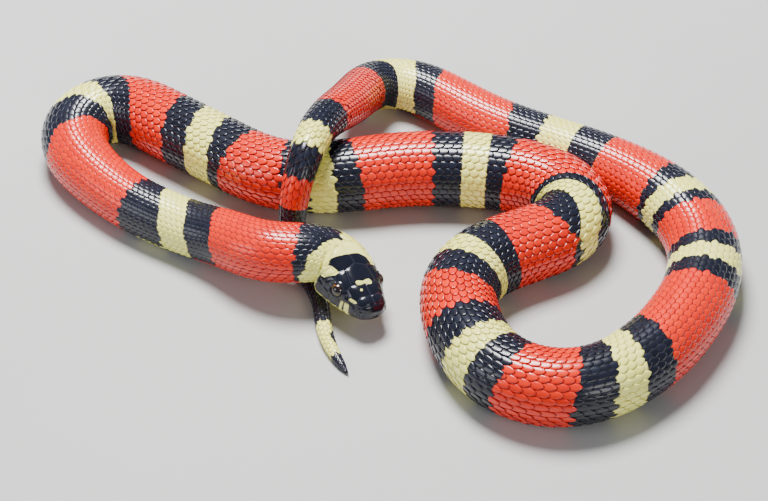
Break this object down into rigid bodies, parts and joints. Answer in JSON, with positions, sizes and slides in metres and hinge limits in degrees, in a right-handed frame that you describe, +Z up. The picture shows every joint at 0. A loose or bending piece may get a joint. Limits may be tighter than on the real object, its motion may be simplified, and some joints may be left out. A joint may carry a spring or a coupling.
{
  "type": "milk snake",
  "caption": "Life-size still model of a milk snake lying in loose loops, banded in red, black and cream, its tail draped over its back and out under its neck.",
  "frame": {"origin": "on the floor under the middle of the snake's bounding box", "axes": "+X to the right as the picture shows it and along the longest side, +Y away from the viewer, +Z up"},
  "size_m": [0.2331, 0.1739, 0.0359],
  "materials": {
    "red_scales": "smooth glossy scales, orange red",
    "black_scales": "smooth glossy scales, blue black",
    "cream_scales": "smooth glossy scales, cream to pale yellow",
    "eye": "clear and wet, dark with a thin brown iris"
  },
  "bodies": {
    "root": {"head": "black_scales", "eye_left": "eye", "eye_right": "eye", "neck": "cream_scales", "body_1": "red_scales", "body_2": "red_scales", "body_3": "red_scales", "body_4": "red_scales", "body_5": "red_scales", "body_6": "red_scales", "body_7": "red_scales", "body_8": "red_scales", "body_9": "red_scales", "body_10": "red_scales", "body_11": "red_scales", "body_12": "red_scales", "body_13": "red_scales", "body_14": "red_scales", "body_15": "red_scales", "tail_1": "red_scales", "tail_2": "red_scales", "tail_3": "red_scales", "tail_4": "black_scales"}
  },
  "joints": []
}
